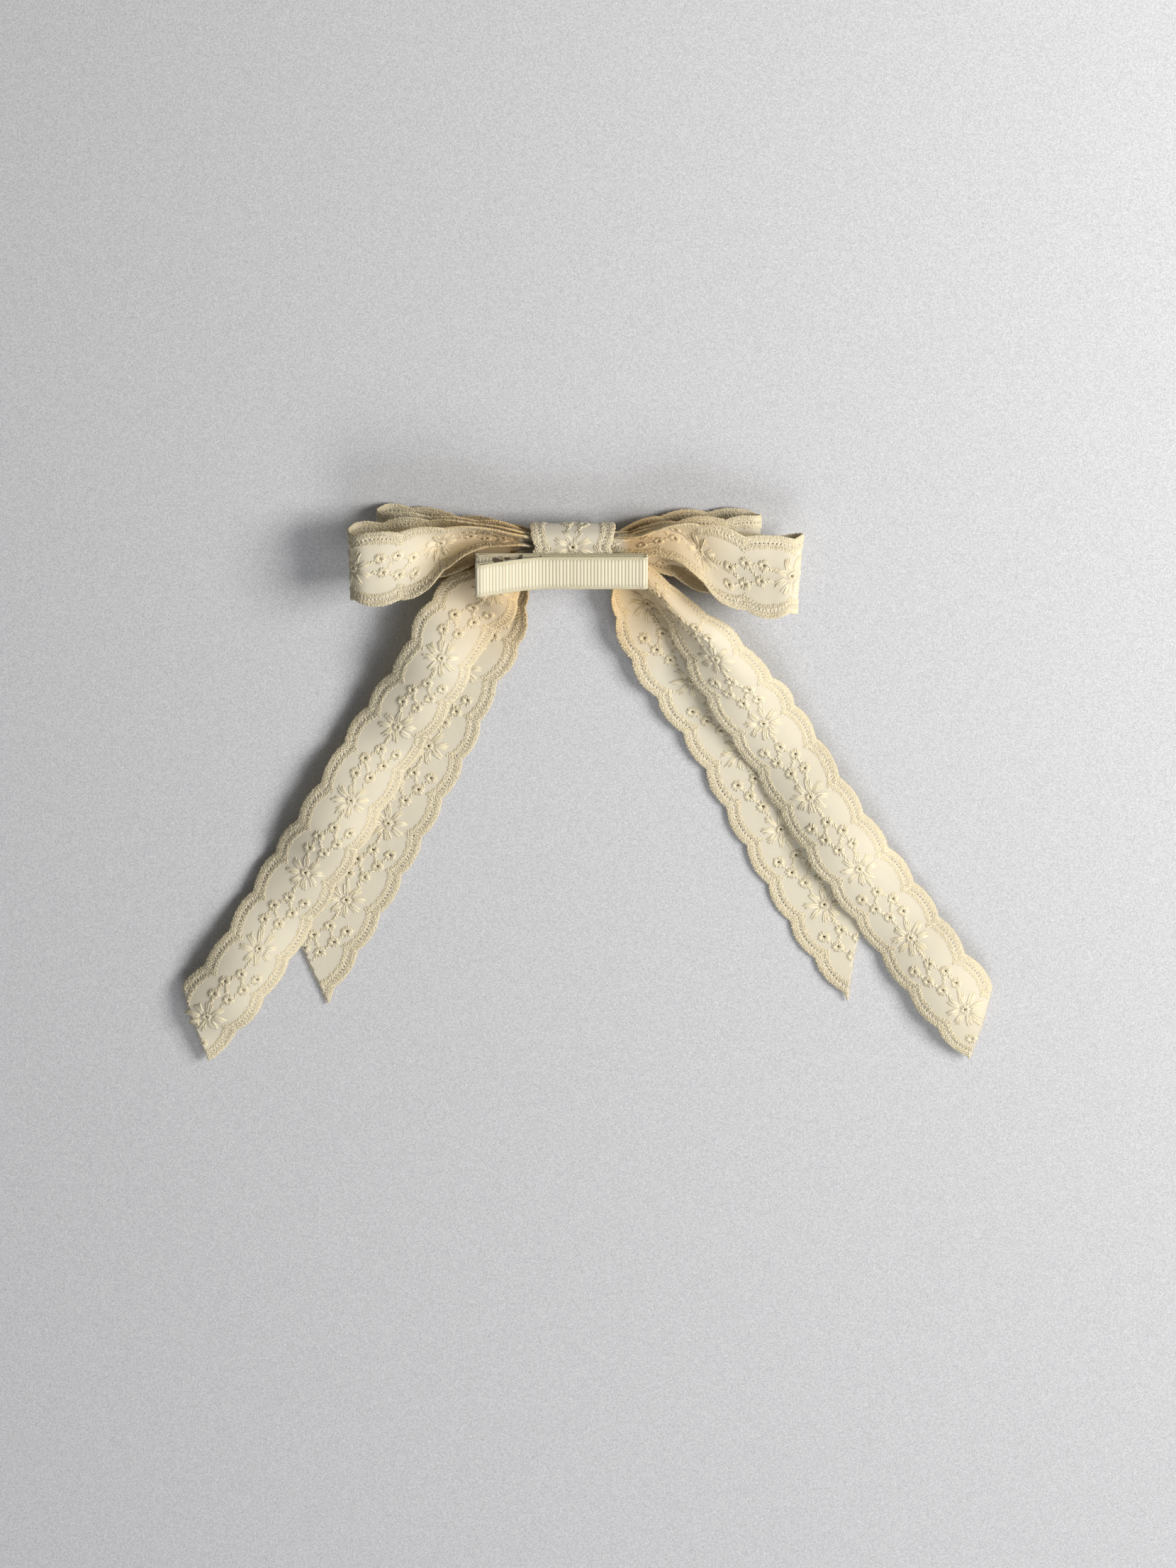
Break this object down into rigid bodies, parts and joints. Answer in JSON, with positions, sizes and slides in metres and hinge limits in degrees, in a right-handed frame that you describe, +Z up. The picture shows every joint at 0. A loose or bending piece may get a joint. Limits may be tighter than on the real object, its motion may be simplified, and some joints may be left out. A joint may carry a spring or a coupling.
{
  "type": "lace hair bow on an alligator clip",
  "caption": "Gathered scalloped-lace hair bow with loops, long diagonal-cut tails and a wrapped knot, mounted on a ribbon-lined sprung alligator clip.",
  "frame": {"origin": "on the surface that the bow lies on, under the middle of its outline", "axes": "+X along the clip from its lever to its jaw tip, +Y from the tails towards the loops, +Z up out of the bow's back, through the clip"},
  "size_m": [0.2442, 0.186, 0.0262],
  "materials": {
    "lace": "cream cotton eyelet lace trim, embroidered scallops and flowers",
    "thread": "cream sewing thread wound tight",
    "hot_melt": "translucent hot-melt glue",
    "grosgrain": "cream ribbed grosgrain ribbon with plain selvedges",
    "clip_steel": "bright nickel-plated pressed steel",
    "spring_steel": "plain drawn spring wire"
  },
  "bodies": {
    "bow": {"left_back_loop": "lace", "right_back_loop": "lace", "left_front_loop": "lace", "right_front_loop": "lace", "left_upper_tail": "lace", "left_lower_tail": "lace", "right_upper_tail": "lace", "right_lower_tail": "lace", "knot_band": "lace", "cinch_thread": "thread", "glue_pad": "hot_melt", "clip_base_arm": "clip_steel", "pivot_pin": "clip_steel", "torsion_spring": "spring_steel", "base_ribbon": "grosgrain"},
    "top_jaw": {"clip_top_arm": "clip_steel", "top_ribbon": "grosgrain"}
  },
  "joints": [
    {"name": "jaw_hinge", "type": "hinge", "parent": "bow", "child": "top_jaw", "pos_m": [-0.0238, 0.0773, 0.02002], "axis": [0, -1, 0], "range_deg": [0, 30], "stiffness_Nm_per_rad": 0.06, "springref_deg": -28.65, "deforming": ["torsion_spring"]}
  ]
}
